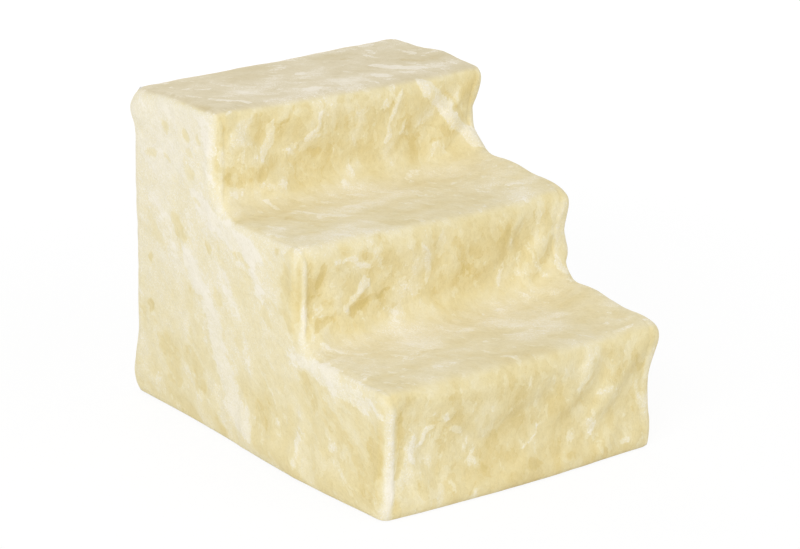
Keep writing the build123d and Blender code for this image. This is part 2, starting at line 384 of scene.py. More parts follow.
def moulded_plastic(name, dark, light, grain=2200.0, roughness=0.48):
    """Moulded plastic with a fine spark-eroded grain and faint flow marks."""
    r = Recipe(bpy.data.materials.new(name))
    flow = r.noise(r.place((1, 1, 0.3)), 9.0, distortion=0.8)
    speck = r.noise(r.place(), grain, 1.0)
    return r.finish(
        Base_Color=r.ramp(flow, [(0.3, dark), (0.7, light)]),
        Roughness=(flow * 0.16 + (roughness - 0.08)).held(),
        Normal=r.bump(speck, 0.00012, 0.5),
    )


def lattice_noise(points, seed):
    """Smooth noise from about -1 to 1, at an array of points."""
    cell = np.floor(points).astype(np.int64)
    local = points - cell
    fade = local**3 * (local * (local * 6 - 15) + 10)
    total = np.zeros(len(points))
    for corner in itertools.product((0, 1), repeat=3):
        key = cell + np.array(corner)
        mixed = key[:, 0] * 73856093 ^ key[:, 1] * 19349663 ^ key[:, 2] * 83492791 ^ seed * 40503
        mixed = (mixed ^ (mixed >> 13)) * 1274126177 & 0x7FFFFFFF
        mixed = (mixed ^ (mixed >> 15)) & 0xFFFF
        angle = (mixed & 0xFF) * (2 * math.pi / 256)
        height = ((mixed >> 8) & 0xFF) / 127.5 - 1
        ring = np.sqrt(np.maximum(0, 1 - height**2))
        away = local - np.array(corner)
        lean = away[:, 0] * ring * np.cos(angle) + away[:, 1] * ring * np.sin(angle)
        lean = lean + away[:, 2] * height
        share = np.prod(np.where(np.array(corner), fade, 1 - fade), axis=1)
        total += share * lean
    return total * 1.7


def layered_noise(points, seed):
    """Noise with finer, weaker noise laid over it."""
    return sum(lattice_noise(points * 2**k, seed + 17 * k) / 2**k for k in (0, 1))


def bell(away, width, power=2):
    """1 at nothing away, falling to 0 beyond the width."""
    return np.exp(-((away / width) ** power))


def rising(away, run):
    """0 up to nothing away, rising evenly to 1 over the run."""
    return np.clip(away / run, 0, 1)


def gathered(verts, what="co"):
    """The places of these points, or another of their vectors, as an array."""
    return np.array([getattr(v, what)[:] for v in verts])


def outline_corners():
    """Corners and roundings of the plush outside, front hem to back hem."""
    corners = []
    for plane, foot, top in zip(riser_planes, riser_feet, tread_heights):
        half = (top - foot) / 2
        lean = waist_depth / half
        advance = nosing_radius * (lean + math.sqrt(1 + lean * lean) - 1)
        waist_radius = waist_run_share * (half - bridge_radius) / lean
        corners += [
            ((plane - advance + waist_depth / 2, foot), bridge_radius),
            ((plane - advance + waist_depth, foot + half), waist_radius),
            ((plane - advance, top), nosing_radius),
        ]
    ends = [((cover_back, top_height), nosing_radius), ((cover_back, hem_height), nosing_radius)]
    return corners + ends


def rounded_line(corners):
    """A line through corners, each rounded to its radius."""
    places = [Vector(c) for c, r in corners]
    points = [places[0]]
    for k in range(1, len(corners) - 1):
        radius = corners[k][1]
        before = (places[k - 1] - places[k]).normalized()
        after = (places[k + 1] - places[k]).normalized()
        opening = before.angle(after)
        run = radius / math.tan(opening / 2)
        middle = places[k] + (before + after).normalized() * (radius / math.sin(opening / 2))
        start, end = places[k] + before * run, places[k] + after * run
        turn = (start - middle).angle_signed(end - middle)
        pieces = max(3, int(abs(turn) * radius / outline_spacing))
        first = math.atan2(start.y - middle.y, start.x - middle.x)
        for j in range(pieces + 1):
            angle = first - turn * j / pieces
            points.append(middle + Vector((math.cos(angle), math.sin(angle))) * radius)
    points.append(places[-1])
    return np.array([tuple(p) for p in points])


def outward(line):
    """The way outwards at each point of the outline, which runs front to back over the top."""
    run = np.gradient(line, axis=0)
    run /= np.linalg.norm(run, axis=1)[:, None]
    return np.stack([-run[:, 1], run[:, 0]], axis=1)


def shell_form():
    """The closed outer form of the cover, rounded along both side edges."""
    line = rounded_line(outline_corners())
    out = outward(line)
    rows = []
    for k in range(edge_cuts + 1):
        angle = math.radians(90 / edge_cuts * k)
        out_by, inset = 1 - math.cos(angle), 1 - math.sin(angle)
        rows.append((cover_side - edge_radius * out_by, edge_radius * inset))
    stations = [(-x, inset) for x, inset in rows] + [(x, inset) for x, inset in reversed(rows)]
    mesh = bmesh.new()
    loops = []
    for x, inset in stations:
        ring = line - out * inset
        ring[0, 1] = ring[-1, 1] = hem_height
        loops.append([mesh.verts.new((x, y, z)) for y, z in ring])
    for near, far in zip(loops, loops[1:]):
        count = len(near)
        for k in range(count):
            j = (k + 1) % count
            mesh.faces.new((near[k], far[k], far[j], near[j]))
    mesh.faces.new(loops[0])
    mesh.faces.new(list(reversed(loops[-1])))
    bmesh.ops.recalc_face_normals(mesh, faces=mesh.faces)
    data = bpy.data.meshes.new("shell_form")
    mesh.to_mesh(data)
    mesh.free()
    return placed("shell_form", data)


def cut(mesh, centre, normal, clear=False):
    """Cuts the mesh along a plane, and clears what lies beyond it where asked."""
    everything = mesh.verts[:] + mesh.edges[:] + mesh.faces[:]
    bmesh.ops.bisect_plane(
        mesh, geom=everything, plane_co=centre, plane_no=normal, clear_outer=clear, dist=least_edge
    )


def eased(mesh, verts, rounds):
    """Draws these points towards their neighbours, a few times over."""
    for _ in range(rounds):
        bmesh.ops.smooth_vert(
            mesh, verts=verts, factor=0.5, use_axis_x=True, use_axis_y=True, use_axis_z=True
        )


def baked(thing):
    """The object's mesh with its modifiers applied. The object itself goes."""
    graph = bpy.context.evaluated_depsgraph_get()
    made = bpy.data.meshes.new_from_object(thing.evaluated_get(graph))
    bpy.data.objects.remove(thing)
    return made


def evened(shell):
    """The form in even squares, open underneath, and stuffed."""
    even = shell.modifiers.new("even", "REMESH")
    even.mode = "VOXEL"
    even.voxel_size = cloth_spacing
    data = baked(shell)
    mesh = bmesh.new()
    mesh.from_mesh(data)
    cut(mesh, (0, 0, hem_height + cloth_spacing * 0.5), (0, 0, -1), clear=True)
    for v in mesh.verts:
        if v.is_boundary:
            v.co.z = hem_height
    eased(mesh, [v for v in mesh.verts if not v.is_boundary], 2)
    mesh.to_mesh(data)
    data.vertices.foreach_set("co", stuffed(gathered(mesh.verts)).ravel())
    mesh.free()
    return placed("cover_cloth", data)


# Where the cover stands out from its plain form: centre, reach and push, in millimetres.
puffs = [
    ((175, -222, 122), (34, 30, 26), (8.5, -2.5, 1.0)),
    ((175, -76, 229), (34, 30, 26), (8.5, -2.5, 1.0)),
    ((175, 70, 336), (34, 30, 24), (5.0, -2.0, 1.0)),
    ((-175, -222, 122), (30, 30, 26), (-2.0, -1.5, 0.5)),
    ((-175, -76, 229), (30, 30, 26), (-2.0, -1.5, 0.5)),
    ((-175, 70, 336), (30, 30, 24), (-1.0, -1.0, 0.5)),
    ((-175, 225, 322), (30, 40, 17), (-4.5, 4.0, -1.0)),
    ((-175, 225, 270), (30, 60, 60), (-1.2, 1.2, 0.0)),
    ((-175, 225, 348), (60, 40, 20), (1.0, 0.0, -4.0)),
    ((175, 225, 340), (30, 30, 30), (3.0, 3.0, 1.0)),
    ((110, 225, 348), (90, 60, 20), (0.0, 0.0, 4.5)),
    ((175, 150, 348), (45, 95, 18), (1.5, 0.0, 4.5)),
    ((-175, -80, 5), (40, 140, 32), (-9.0, 0.0, 0.0)),
    ((-175, 225, 26), (26, 40, 30), (-4.0, 4.0, 0.0)),
    ((-175, 225, 0), (30, 34, 12), (1.0, -1.0, 1.5)),
    ((0, -225, 5), (150, 40, 28), (0.0, -8.0, 0.0)),
    ((175, -225, 30), (26, 26, 60), (4.0, -2.5, 0.0)),
    ((175, -79, 190), (24, 30, 22), (7.0, 0.0, 0.0)),
    ((175, -82, 165), (24, 34, 20), (11.0, 0.0, 0.0)),
    ((175, 128, 348), (40, 34, 18), (1.5, 0.0, 4.0)),
    ((175, 0, 5), (40, 140, 32), (3.5, 0.0, 0.0)),
    ((0, 225, 5), (130, 40, 30), (0.0, 2.5, 0.0)),
]
# Where it is drawn up over a right inner corner: step, how far ahead of the riser, and reach.
tents = [(0, 53, 47), (1, 62, 54)]
right_reach, left_reach = 42, 30
corner_reach, under_reach, over_reach = 30, 32, 60
wider, wider_right, wider_left = 4, 22, 8
lift_behind, lift_ahead, lift_peak = 6, 8, 13
lift_start, lift_end = 20, 22


def bridge(across, radius):
    """How far a rounding of this radius stands off its sharp corner, at a place across it."""
    inside = np.sqrt(np.maximum(radius**2 - across**2 / 2, 0))
    off = math.sqrt(2) * radius - inside
    return np.where(np.abs(across) < radius, off, np.abs(across) / math.sqrt(2))


def stuffed(points):
    """The plain form puffed at its corners and drawn across its inner corners."""
    p = points * 1000
    x, y, z = p.T
    going, side, plain_radius = tread_going * 1000, cover_side * 1000, bridge_radius * 1000
    move = np.zeros_like(points)
    for centre, reach, push in puffs:
        away = (((p - np.array(centre)) / np.array(reach)) ** 2).sum(1)
        move += np.exp(-away)[:, None] * np.array(push)
    towards_right, towards_left = bell(side - x, right_reach), bell(side + x, left_reach)
    for level, rise_at, rise_run in tents:
        tread, riser = tread_heights[level] * 1000, riser_planes[level + 1] * 1000 + 2
        ahead, above = riser - y, z - tread
        share = bell(np.maximum(-np.minimum(ahead, above), 0), corner_reach)
        radius = plain_radius + wider + wider_right * towards_right + wider_left * towards_left
        across = above - ahead
        wide = bridge(across, radius) - bridge(across, plain_radius)
        move[:, 1] -= wide * share / math.sqrt(2)
        move[:, 2] += wide * share / math.sqrt(2)
        lift = lift_ahead + (lift_behind - lift_ahead) * rising(ahead, going)
        tent = lift * rising(going - ahead, lift_end) * rising(ahead + lift_start, lift_start)
        tent = tent + lift_peak * bell(ahead - rise_at, rise_run)
        under = bell(np.maximum(-above, 0), under_reach) * (above < over_reach)
        move[:, 2] += tent * under * towards_right
    return points + move * 0.001


def grip_shares(points):
    """How firmly each point is held: the hem and the seams more than the open cloth."""
    hem = 1 - rising(points[:, 2] - hem_height, held_hem)
    seam = bell(np.abs(points[:, 0]) - (seam_side - held_inside), held_seam)
    return np.clip(open_grip + seam_grip * seam + hem, 0, 1)


def spread_move(data, move):
    """The moves of the points, each averaged with its neighbours' a few times."""
    ends = np.array([e.vertices[:] for e in data.edges])
    for _ in range(rumple_easing):
        beside, count = np.zeros_like(move), np.zeros(len(move))
        for near, far in (ends.T, ends.T[::-1]):
            np.add.at(beside, near, move[far])
            np.add.at(count, near, 1)
        move = (move + beside / count[:, None]) / 2
    return move


def settled(cloth_object):
    """The cover let go as cloth, cut a little larger than the frame, so that it rumples."""
    rest = gathered(cloth_object.data.vertices)
    rest_normals = gathered(cloth_object.data.vertices, "normal")
    grip = cloth_object.vertex_groups.new(name="grip")
    for k, share in enumerate(grip_shares(rest)):
        grip.add([k], float(share), "REPLACE")
    cloth = cloth_object.modifiers.new("cloth", "CLOTH")
    for key, value in cloth_settings.items():
        setattr(cloth.settings, key, value)
    cloth.settings.effector_weights.gravity = cloth_gravity
    cloth.collision_settings.use_collision = False
    cloth.collision_settings.use_self_collision = False
    cloth.point_cache.frame_start = 1
    cloth.point_cache.frame_end = settle_frames
    for moment in range(1, settle_frames + 1):
        scene.frame_set(moment)
    data = baked(cloth_object)
    move = gathered(data.vertices) - rest
    reach = np.linalg.norm(move, axis=1)
    move *= (np.minimum(reach, most_rumple) / np.maximum(reach, 1e-9))[:, None]
    move = spread_move(data, move)
    inward = -(move * rest_normals).sum(1)
    room = np.clip(lining_distance(rest) - lining_room, 0, most_sink)
    room = room * (1 - 0.8 * np.clip(rest_normals[:, 2], 0, 1))
    move += rest_normals * np.clip(inward - room, 0, None)[:, None]
    move[:, 2] = np.maximum(move[:, 2], hem_height - rest[:, 2])
    data.vertices.foreach_set("co", (rest + move).ravel())
    scene.frame_set(1)
    return placed("cover_cloth", data)


def lining_distance(points):
    """How far each point stands from the lining, which is three stacked boxes."""
    nearest = np.full(len(points), 1e9)
    for plane, top in zip(riser_planes, tread_heights):
        x = np.maximum(np.abs(points[:, 0]) - lining_side, 0)
        y = np.maximum(plane + nosing_depth - points[:, 1], points[:, 1] - lining_back)
        z = points[:, 2] - (top - tread_depth)
        outside = np.sqrt(x**2 + np.maximum(y, 0) ** 2 + np.maximum(z, 0) ** 2)
        nearest = np.minimum(nearest, outside)
    return nearest


# Where the pile is pressed into folds and hollows, panel by panel, in millimetres. Their paleness
# is partly the pile's own tone and partly painted light: painted highlight along the raised folds,
# painted shade in the hollows.
# Each mark: the line it follows, its half width, how pale it is, how high it stands.
pile_marks = {
    "left_side": [
        # pale bands down the diagonal
        ([(130, 196), (106, 162), (72, 129), (60, 89), (34, 45), (-6, 19)], 11, 0.75, 0.9),
        ([(68, 195), (45, 164), (23, 127), (5, 86)], 6, 0.45, 0.5),
        ([(27, 210), (2, 197), (-16, 170)], 7, 0.6, 0.4),
        ([(191, 235), (161, 204), (142, 168)], 8, 0.35, 0.4),
        ([(111, 255), (68, 228), (18, 222), (-16, 210)], 9, 0.6, 0.5),
        ([(-103, 125), (-141, 118), (-185, 111), (-215, 110)], 8, 0.8, 0.8),
        ([(-57, 126), (-82, 123), (-109, 125)], 7, 0.6, 0.5),
        ([(-83, 78), (-83, 40), (-86, 12)], 3.5, 0.5, 0.6),
        ([(-125, 67), (-139, 57), (-134, 44)], 4, 0.5, 0.5),
        ([(179, 33), (169, 15)], 8, 0.4, 0.4),
        ([(86, 344), (81, 305), (70, 270)], 8, 0.5, 0.4),
        ([(-159, 59), (-171, 37), (-184, 18)], 5, 0.35, 0.4),
        ([(-27, 82), (-42, 54), (-54, 30)], 5, 0.35, 0.4),
        # straw hollows between them
        ([(136, 191), (123, 164), (115, 144), (85, 142)], 3, -0.55, -0.5),
        ([(174, 77), (151, 64), (140, 30)], 13, -0.5, -0.4),
        ([(124, 80), (105, 67), (88, 35)], 8, -0.45, -0.3),
        ([(67, 158), (58, 144)], 7, -0.55, -0.4),
        ([(-26, 213), (-51, 190), (-68, 153)], 9, -0.35, -0.3),
        ([(-16, 174), (-48, 166)], 4, -0.4, -0.4),
        ([(-31, 72), (-17, 42), (-31, 12)], 9, -0.4, -0.3),
        ([(-82, 113), (-120, 89), (-170, 53), (-194, 24)], 10, -0.45, -0.3),
        ([(67, 24), (45, -2)], 5, -0.45, -0.4),
        ([(-103, 89), (-107, 48), (-115, 18)], 5, -0.35, -0.4),
        ([(-202, 79), (-209, 40)], 5, -0.4, -0.3),
        ([(105, 69), (88, 61)], 3, -0.3, -0.3),
        ([(-64, 236), (-60, 200), (-64, 158)], 9, -0.55, -0.3),
        ([(-206, 118), (-204, 60), (-207, 12)], 9, -0.4, -0.2),
        # small tufts
        ([(163, 316), (157, 307)], 4.2, -1.15, -0.5),
        ([(125, 320), (119, 309)], 3.6, -1.0, -0.5),
        ([(101, 316), (94, 308)], 2.6, -0.95, -0.4),
        ([(196, 278), (177, 282)], 3.9, -0.9, -0.4),
        ([(121, 297), (110, 294)], 3.4, -0.95, -0.4),
        ([(116, 275), (105, 273)], 3.9, -0.9, -0.4),
        ([(141, 210), (134, 202), (123, 195)], 4.2, -1.05, -0.5),
        ([(195, 163), (189, 162)], 4.5, -0.84, -0.3),
        ([(198, 108), (186, 110)], 5.2, -1.0, -0.4),
        ([(-38, 232), (-44, 227)], 3.9, -0.65, -0.3),
        ([(163, 284), (150, 276)], 1.8, -0.95, -0.5),
        ([(87, 206), (76, 195)], 2.1, -1.05, -0.5),
        ([(34, 209), (7, 200)], 2.6, -1.05, -0.5),
        ([(107, 248), (98, 241)], 2.1, -0.84, -0.4),
        # faint trails from tuft to tuft
        ([(166, 322), (140, 302), (122, 288), (108, 262)], 6, -0.34, 0.0),
        ([(128, 318), (104, 300), (94, 284)], 5, -0.3, 0.0),
        ([(150, 222), (128, 196), (112, 170)], 6, -0.28, 0.0),
    ],
    "top_riser": [
        ([(-104, 327), (-106, 308), (-116, 291)], 5, 0.95, 1.1),
        ([(-45, 330), (-44, 316), (-60, 303)], 2.8, 0.8, 0.8),
        ([(-93, 291), (-69, 300), (-34, 307)], 2.2, 0.45, 0.7),
        ([(-82, 280), (-60, 284), (-40, 287)], 8, -0.55, -0.8),
        ([(-21, 308), (-8, 311), (7, 312)], 9, -0.4, -0.6),
        ([(64, 338), (54, 310), (47, 282)], 3.4, 0.7, 0.9),
        ([(70, 304), (66, 288)], 2.4, 0.7, 0.7),
        ([(90, 345), (118, 318), (146, 289), (170, 262)], 7.2, 1.3, 2.4),
        ([(126, 328), (143, 306), (161, 286)], 3.2, -0.6, -0.9),
        ([(105, 273), (129, 282)], 2.4, -0.5, -0.7),
        ([(115, 278), (136, 286)], 2, 0.35, 0.4),
        # painted fold shadow under the pale fold: two dark hollows joined by a wide soft dark band
        # with no relief
        ([(-157, 286), (-150, 274), (-141, 264)], 7, -0.62, -0.9),
        ([(-116, 284), (-116, 266)], 4, -0.6, -0.9),
        ([(-164, 276), (-140, 272), (-118, 278), (-96, 288)], 9, -0.42, 0.0),
        ([(-165, 334), (-167, 310)], 3, -0.5, -0.6),
        ([(-137, 321), (-130, 312)], 12, 0.35, 0.3),
        ([(-26, 287), (-23, 285)], 2.2, 0.7, 0.3),
        ([(-16, 251), (-11, 246)], 4, 0.7, 0.5),
        ([(-92, 267), (-89, 256)], 6, 0.45, 0.4),
        ([(-4, 323), (25, 328), (36, 331)], 5, -0.3, -0.3),
        ([(77, 291), (91, 278)], 9, -0.35, -0.5),
        ([(-1, 270), (13, 279)], 6, -0.3, -0.4),
        ([(-66, 347), (-31, 334), (-11, 318)], 4, 0.25, 0.4),
    ],
    "middle_riser": [
        ([(-147, 220), (-148, 195)], 4.5, -0.9, -1),
        ([(-157, 151), (-146, 158), (-130, 163)], 3.2, -0.85, -1.0),
        ([(-156, 162), (-141, 171)], 2.4, 0.6, 0.8),
        ([(-157, 184), (-142, 188)], 2, -0.5, -0.6),
        ([(-117, 165), (-106, 175), (-96, 184), (-86, 192)], 3.2, 1, 1.5),
        ([(-101, 186), (-91, 195)], 4.5, 0.6, 0.5),
        # painted shadow under the pale fold above it
        ([(-112, 160), (-96, 167), (-80, 173), (-58, 178)], 3.6, -0.8, -0.9),
        ([(-134, 220), (-112, 221), (-84, 204)], 3, 0.7, 0.8),
        ([(-99, 224), (-84, 219)], 4, -0.5, -0.5),
        ([(-136, 201), (-126, 180)], 6, 0.3, 0.4),
        ([(-67, 175), (-64, 170)], 2.6, 0.7, 0.4),
        ([(-136, 150), (-98, 149)], 7, -0.3, -0.3),
        ([(164, 173), (168, 155)], 5, 0.7, 0.8),
        ([(151, 203), (157, 180)], 5, -0.4, -0.4),
        ([(124, 197), (143, 154)], 4, 0.5, 0.7),
        ([(84, 231), (106, 189)], 4, 0.4, 0.6),
        ([(24, 220), (45, 173)], 6, -0.5, -0.6),
        ([(-23, 223), (-6, 196), (-11, 172)], 4, 0.6, 0.8),
    ],
    "low_riser": [
        ([(-157, 110), (-155, 66), (-158, 41)], 3.2, -0.7, -0.9),
        ([(-132, 70), (-125, 83), (-113, 90)], 3, 0.75, 1),
        ([(-105, 100), (-92, 82), (-79, 75)], 3, 0.7, 0.8),
        ([(-146, 100), (-144, 83)], 8, -0.35, -0.3),
        ([(-70, 43), (-67, 34)], 3.2, 0.6, 0.4),
        ([(-93, 25), (-92, 14)], 3, 0.6, 0.4),
        ([(2, 21), (23, 19)], 6, -0.5, -0.4),
        ([(-59, 28), (-40, 19)], 8, -0.4, -0.4),
        ([(-135, 31), (-125, 20)], 6, -0.35, -0.3),
        ([(-35, 38), (-23, 19)], 3.4, 0.4, 0.4),
        ([(-153, 69), (-154, 40)], 4, -0.4, -0.5),
        ([(-108, 63), (-95, 42)], 6, 0.25, 0.3),
        ([(49, 35), (71, 13)], 6, -0.4, -0.4),
        ([(89, 48), (105, 11)], 5, 0.5, 0.6),
        ([(133, 13), (146, 15)], 3, 0.8, 0.5),
        ([(150, 56), (161, 20)], 5, -0.3, -0.4),
    ],
    "top_tread": [
        ([(77, 143), (101, 121), (123, 96)], 3.2, 0.9, 0.5),
        ([(55, 108), (70, 93)], 2.4, 0.6, 0.3),
        ([(-43, 93), (-25, 92)], 3.4, 0.9, 0.4),
        ([(-158, 70), (-150, 65)], 2.2, 0.9, 0.3),
        ([(-149, 169), (-121, 155)], 1.6, 0.5, 0.3),
        ([(-150, 121), (-138, 106), (-120, 81)], 1.8, 0.6, 0.4),
        ([(-183, 176), (-174, 105), (-170, 78)], 3.4, -0.55, -0.4),
        ([(-10, 156), (-1, 155)], 2.2, 0.6, 0.3),
        ([(133, 220), (137, 211)], 2.6, 0.6, 0.3),
        ([(139, 175), (143, 144)], 2.4, 0.5, 0.4),
        ([(148, 124), (150, 100)], 3, -0.4, -0.3),
        ([(-88, 149), (-38, 147)], 3.2, -0.25, -0.2),
        ([(56, 184), (84, 176)], 3.2, -0.3, -0.2),
        ([(120, 142), (138, 119)], 2, -0.5, -0.3),
    ],
    "middle_tread": [
        ([(-123, 106), (-119, 68), (-110, 40)], 1.8, 0.7, 0.7),
        ([(-102, 39), (-88, 8), (-63, -13)], 1.8, 0.6, 0.7),
        ([(-138, 38), (-116, 1), (-84, -24)], 2.2, -0.4, -0.5),
        ([(197, 109), (208, 92)], 3, 0.7, 0.6),
        ([(158, 61), (181, 60)], 1.6, 0.5, 0.4),
        ([(167, 21), (161, -36)], 4, -0.3, -0.3),
        ([(-142, -35), (-109, -41)], 3, -0.3, -0.3),
        ([(-46, 18), (-35, 3)], 3, 0.6, 0.3),
        ([(-153, 6), (-148, -18)], 2, 0.5, 0.3),
        ([(168, -45), (163, -70)], 3, 0.4, 0.3),
    ],
    "low_tread": [
        ([(-160, -86), (-139, -104), (-116, -124)], 2, 0.5, 0.5),
        ([(-173, -130), (-167, -158), (-173, -195)], 3, 0.3, 0.3),
        ([(-149, -122), (-134, -160)], 3, -0.25, -0.2),
        ([(186, -88), (190, -111)], 3, 0.7, 0.4),
        ([(164, -121), (162, -132)], 2, 0.7, 0.3),
        ([(159, -157), (155, -201)], 4, -0.4, -0.3),
        ([(-137, -179), (-110, -177)], 3, 0.3, 0.2),
    ],
}

# Each panel: the axis it faces and which way, its own two axes, and the marks' widening.
panel_frames = {
    "left_side": (0, -1, 1, 2, 1.3),
    "right_side": (0, 1, 1, 2, 1.3),
    "back": (1, 1, 0, 2, 1.2),
    "low_riser": (1, -1, 0, 2, 1.1),
    "middle_riser": (1, -1, 0, 2, 1.1),
    "top_riser": (1, -1, 0, 2, 1.1),
    "low_tread": (2, 1, 0, 1, 2.2),
    "middle_tread": (2, 1, 0, 1, 2.2),
    "top_tread": (2, 1, 0, 1, 2.2),
}

# Chance marks by kind of panel: its corners in millimetres, how many, and their slope in degrees.
chance_fields = {
    "side": ((-220, 5), (220, 345), 90, 42),
    "back": ((-170, 5), (170, 345), 56, 70),
    "riser": ((-170, 0), (170, 110), 34, 66),
    "tread": ((-170, 0), (170, 150), 26, 4),
}


def kind_and_level(name):
    """What kind of panel this is, and its step where it belongs to one."""
    first, _, kind = name.rpartition("_")
    return kind, level_names.index(first) if first in level_names else None


def panel_share(name, points, normals):
    """How much each point belongs to a panel: 1 on it, 0 round the corner from it."""
    axis, sign = panel_frames[name][:2]
    kind, level = kind_and_level(name)
    share = rising(normals[:, axis] * sign - 0.25, 0.4)
    if kind == "tread":
        share = share * (np.searchsorted(np.array(tread_heights) + 0.008, points[:, 2]) == level)
    if kind == "riser":
        behind = np.searchsorted(np.array(riser_planes) - 0.02, points[:, 1]) - 1
        share = share * (np.minimum(behind, step_count - 1) == level)
    return share


def chance_marks(name, seed):
    """Marks like the ones above, laid by chance, for the cloth between and behind them."""
    chance = np.random.default_rng(seed)
    kind, level = kind_and_level(name)
    low, high, count, slope = chance_fields[kind]
    known = name in pile_marks
    strength = 0.7 if known and level is not None else 0.55
    if level is not None:
        raised = (riser_feet if kind == "riser" else riser_planes)[level] * 1000
        low, high = (low[0], low[1] + raised), (high[0], high[1] + raised)
    marks = []
    for _ in range(int(count * (0.5 if known else 1))):
        u, v = chance.uniform(low[0], high[0]), chance.uniform(low[1], high[1])
        angle = math.radians(slope + chance.normal(0, 22))
        if kind in ("back", "riser") and chance.random() < 0.35:
            angle = math.pi - angle
        half = chance.uniform(4, 22) * (1.6 if kind == "side" else 1.0)
        bend = chance.normal(0, 0.25) * half
        du, dv = math.cos(angle) * half, math.sin(angle) * half
        elbow = (u - dv / half * bend, v + du / half * bend)
        line = [(u - du, v - dv), elbow, (u + du, v + dv)]
        width = min(half * 0.5, chance.uniform(1.6, 6.5)) / (1.8 if kind == "tread" else 1.0)
        # paler where raised and darker where sunk: partly painted highlight and shade
        pale = chance.choice([-1, 1]) * chance.uniform(0.25, 0.8) * strength
        marks.append((line, width, pale, pale * chance.uniform(0.6, 1.4)))
    return marks


def pressed_and_lit_pile(points, normals, wander):
    """The paleness and the height that the marks give each point; the paleness is partly painted
    highlight and shade.
    """
    pale, height = np.zeros(len(points)), np.zeros(len(points))
    for k, name in enumerate(panel_frames):
        across, up, widening = panel_frames[name][2:]
        share = panel_share(name, points, normals)
        here = np.nonzero(share > 0)[0]
        flat = points[here][:, [across, up]] * 1000 + wander[here]
        for line, width, paleness, rise in pile_marks.get(name, []) + chance_marks(name, 40 + k):
            width = width * widening
            ends = np.array(line)
            low, high = ends.min(0) - 3 * width, ends.max(0) + 3 * width
            near = np.nonzero(np.all((flat > low) & (flat < high), axis=1))[0]
            if not len(near):
                continue
            away, run = near_line(flat[near], line)
            taper = np.clip(np.minimum(run, 1 - run) * 6 + 0.35, 0, 1)
            spread = away / (width * taper)
            marked = here[near]
            pale[marked] += paleness * np.exp(-(spread**4) * 0.8) * share[marked]
            height[marked] += rise * np.exp(-(spread**2) * 0.9) * share[marked]
    return pale, height


def near_line(flat, line):
    """Distance from each point to a broken line, and how far along the line that is, 0 to 1."""
    best, share = np.full(len(flat), 1e9), np.zeros(len(flat))
    ends = [np.array(p, float) for p in line]
    runs = [np.linalg.norm(b - a) for a, b in zip(ends, ends[1:])]
    done = 0.0
    for a, b, run in zip(ends, ends[1:], runs):
        way = (b - a) / run
        along = np.clip((flat - a) @ way, 0, run)
        away = np.linalg.norm(flat - a - along[:, None] * way, axis=1)
        closer = away < best
        best = np.where(closer, away, best)
        share = np.where(closer, (done + along) / sum(runs), share)
        done += run
    return best, share


def faced(normals, axis, sign, sharpness=1.8):
    """1 where the cloth faces one way along an axis, 0 where it faces across it or away."""
    return np.clip(normals[:, axis] * sign, 0, 1) ** sharpness


def riser_side_share(p):
    """1 at the upright edges beside the risers, less beside the top one, in millimetres."""
    share = np.zeros(len(p))
    y, z = p[:, 1], p[:, 2]
    for plane, foot, top, clear in zip(riser_planes, riser_feet, tread_heights, (1.0, 1.0, 0.45)):
        between = rising(z - foot * 1000 + 6, 16) * rising(top * 1000 - 8 - z, 14)
        share = np.maximum(share, bell(y - plane * 1000 - 2, 14) * between * clear)
    return share


def tread_side_share(p):
    """1 along the side edges of the two lower treads, 0 elsewhere, in millimetres."""
    share = np.zeros(len(p))
    y, z = p[:, 1], p[:, 2]
    for plane, top, clear in zip(riser_planes, tread_heights, (1.0, 0.8, 0.0)):
        between = rising(y - plane * 1000 + 2, 12) * rising(plane * 1000 + 135 - y, 30)
        share = np.maximum(share, bell(z - top * 1000 + 3, 7) * between * clear)
    return share


def seam_inset(y, z):
    """How much further inboard the side seams run on the risers than on the treads, in metres."""
    inset = np.zeros_like(y)
    for plane, foot, top in zip(riser_planes, riser_feet, tread_heights):
        between = rising(z - foot + 0.004, 0.03) * rising(top - 0.001 - z, 0.016)
        drawn = riser_seam_inset + np.clip(y - plane, -0.012, 0.010) * 0.75
        inset = np.maximum(inset, drawn * bell(y - plane, 0.026) * between)
    return inset


def slanted(first, second, pitch, drift):
    """How far each point is along and across a slanting run of folds."""
    pitch = math.radians(pitch)
    along = first * math.cos(pitch) + second * math.sin(pitch)
    return along, second * math.cos(pitch) - first * math.sin(pitch) + drift


def cloth_folds(p):
    """The cloth's folds: slanting on the sides, steep on the risers, across the treads."""
    x, y, z = p.T
    drift = layered_noise(p / 60, 5) * 16
    along, across = slanted(y, z, 40, drift)
    side_folds = layered_noise(np.stack([along / 95, across / 30, x / 60], 1), 11)
    along, across = slanted(x, z, 62, drift)
    riser_folds = layered_noise(np.stack([along / 55, across / 26, y / 60], 1), 12)
    swept = np.stack([(x + drift) / 80, (y + drift * 0.7) / 30, z / 60], 1)
    return side_folds, riser_folds, layered_noise(swept, 13)


# What lies along the seams: how much paler it makes the pile, and how many millimetres higher.
# Darker in the groove and the dip, and beside the roll: painted shade in and along the seam's
# creases.
seam_effects = {
    "groove": (-0.05, -0.9),
    "roll": (0.28, 1.6),
    "dip": (-0.12, -0.8),
    "shade": (-0.10, 0.0),
    "lip": (0.09, 0.5),
}
low_half_roll, half_roll = 6.6, 3.7

# The tone of each side of the cover by which way it faces, a painted sheen of the pile catching
# the light, and how it grows with height and towards the tall end.
side_tone, riser_tone, tread_tone, back_tone = 0.48, 0.45, 0.57, 0.64
climb_tone, tall_end_tone = 0.37, 0.05

# How strongly the painted sky reflection greys the treads: the top one, above this height in
# metres, and the others.
sky_sheen_above, top_sky_sheen, plain_share = 0.300, 1.0, 0.36


